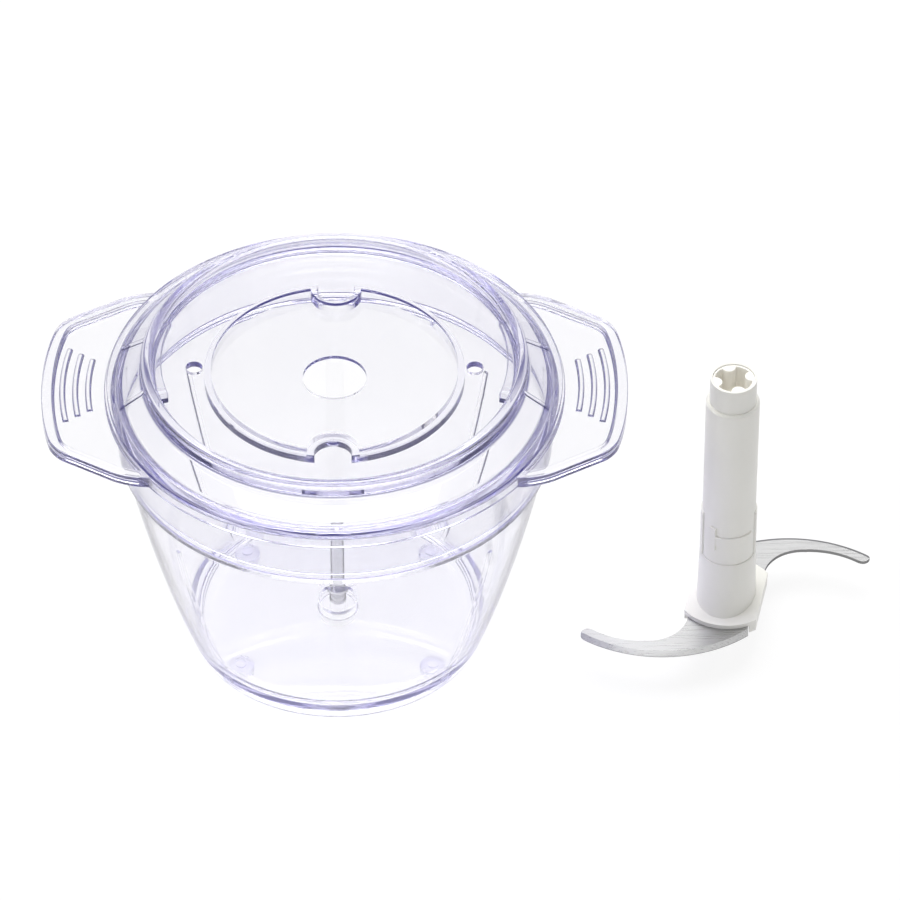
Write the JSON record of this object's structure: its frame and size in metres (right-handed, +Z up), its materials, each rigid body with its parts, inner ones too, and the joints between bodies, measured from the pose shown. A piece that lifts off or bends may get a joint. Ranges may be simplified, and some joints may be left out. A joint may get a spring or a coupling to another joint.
{
  "type": "mini chopper bowl set",
  "caption": "Clear two-eared chopper bowl with a spindle pin and feet, a clear lid with a drive hole, and a white hub with a steel S-blade that stands beside it.",
  "frame": {"origin": "on the bowl's axis, at the table that the feet stand on", "axes": "+Z up along the bowl's axis, +X towards the right ear and the blade hub, +Y towards the back"},
  "size_m": [0.2742, 0.15, 0.1156],
  "materials": {
    "clear_plastic": "clear moulded plastic with a faint violet edge",
    "pin_steel": "polished",
    "soft_foot": "clear soft plastic",
    "blade_steel": "fine brushed with ground bevels",
    "hub_white": "satin moulded plastic",
    "socket_cream": "satin moulded plastic",
    "pad_grey": "hard bearing plastic"
  },
  "bodies": {
    "bowl": {"bowl": "clear_plastic", "spindle_pin": "pin_steel", "foot_front_left": "soft_foot", "foot_front_right": "soft_foot", "foot_back_left": "soft_foot", "foot_back_right": "soft_foot"},
    "lid": {"lid": "clear_plastic"},
    "blade_unit": {"blade": "blade_steel", "blade_carrier": "hub_white", "blade_retainer": "hub_white", "drive_tube": "hub_white", "drive_socket": "socket_cream", "spindle_bush": "socket_cream", "thrust_pad": "pad_grey"}
  },
  "joints": [
    {"name": "lid_lift", "type": "slide", "parent": "bowl", "child": "lid", "axis": [0, 0, 1], "range_m": [0, 0.15]},
    {"name": "blade_spin", "type": "hinge", "parent": "bowl", "child": "blade_unit", "pos_m": [0.1295, -0.005, 0], "axis": [0, 0, 1], "continuous": true}
  ]
}
